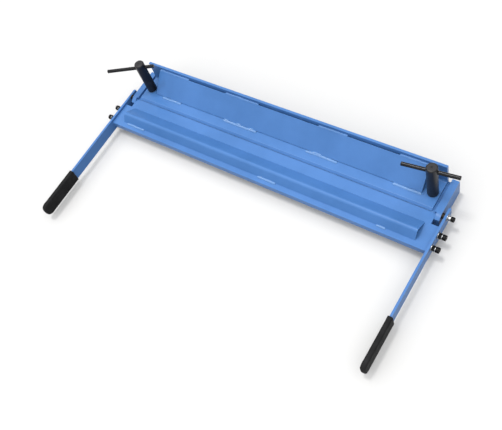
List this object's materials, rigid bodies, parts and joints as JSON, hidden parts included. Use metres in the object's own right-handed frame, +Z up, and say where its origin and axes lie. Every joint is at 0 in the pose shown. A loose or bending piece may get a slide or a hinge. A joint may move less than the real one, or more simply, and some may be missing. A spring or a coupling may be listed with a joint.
{
  "type": "sheet metal brake",
  "caption": "Bench sheet metal folding brake: clamp beam with T-handle screws over a bed, hinged apron with stiffening rib and two long lever arms with grips.",
  "frame": {"origin": "centre of the four bench holes, on the bench surface", "axes": "+X along the bend line to the right-hand arm, +Y to the rear, +Z up; the bend line is 50 mm in front of the origin and 43 mm above the bench"},
  "size_m": [1.0478, 0.524, 0.1616],
  "materials": {
    "blue_paint": "semi-gloss powder coat",
    "black_steel": "black oxide, satin",
    "zinc_plate": "bright zinc",
    "bare_steel": "machined, oiled",
    "bronze": "turned",
    "grip_plastic": "moulded, matte"
  },
  "bodies": {
    "base": {"bed_channel": "blue_paint", "left_side_bar": "blue_paint", "right_side_bar": "blue_paint", "left_foot_plate": "blue_paint", "right_foot_plate": "blue_paint", "bed_nuts": "bare_steel", "right_pivot_screw": "black_steel", "right_pivot_washer": "zinc_plate", "right_pivot_collar": "zinc_plate", "left_pivot_pin": "bare_steel"},
    "clamp": {"clamp_beam": "blue_paint", "beam_stiffener": "blue_paint"},
    "left_screw": {"left_spindle": "bare_steel", "left_sleeve": "black_steel", "left_thrust_washer": "zinc_plate", "left_retaining_clip": "bare_steel"},
    "right_screw": {"right_spindle": "bare_steel", "right_sleeve": "black_steel", "right_thrust_washer": "zinc_plate", "right_retaining_clip": "bare_steel"},
    "left_tommy": {"left_tommy_bar": "black_steel"},
    "right_tommy": {"right_tommy_bar": "black_steel"},
    "apron": {"apron_plate": "blue_paint", "apron_rib": "blue_paint", "left_arm": "blue_paint", "right_arm": "blue_paint", "left_grip": "grip_plastic", "right_grip": "grip_plastic", "pivot_bushes": "bronze", "arm_washers": "zinc_plate", "arm_lock_nuts": "black_steel", "arm_spring_washers": "zinc_plate", "arm_screws": "black_steel"}
  },
  "joints": [
    {"name": "apron_fold", "type": "hinge", "parent": "base", "child": "apron", "pos_m": [0, -0.05, 0.043], "axis": [-1, 0, 0], "range_deg": [0, 90]},
    {"name": "clamp_lift", "type": "slide", "parent": "base", "child": "clamp", "axis": [0, 0, 1], "range_m": [0, 0.008]},
    {"name": "left_screw_turn", "type": "hinge", "parent": "clamp", "child": "left_screw", "pos_m": [-0.44, -0.006, 0.05], "axis": [0, 0, 1], "range_deg": [0, 1441]},
    {"name": "right_screw_turn", "type": "hinge", "parent": "clamp", "child": "right_screw", "pos_m": [0.44, -0.006, 0.05], "axis": [0, 0, 1], "range_deg": [0, 1441]},
    {"name": "left_tommy_slide", "type": "slide", "parent": "left_screw", "child": "left_tommy", "axis": [-0.878, -0.4787, 0], "range_m": [-0.084, 0.022]},
    {"name": "right_tommy_slide", "type": "slide", "parent": "right_screw", "child": "right_tommy", "axis": [0.9936, 0.1132, 0], "range_m": [-0.0495, 0.0565]}
  ],
  "couplings": [
    {"joint": "left_screw_turn", "follows": "clamp_lift", "rad_per_m": 3141.6},
    {"joint": "right_screw_turn", "follows": "clamp_lift", "rad_per_m": 3141.6}
  ]
}
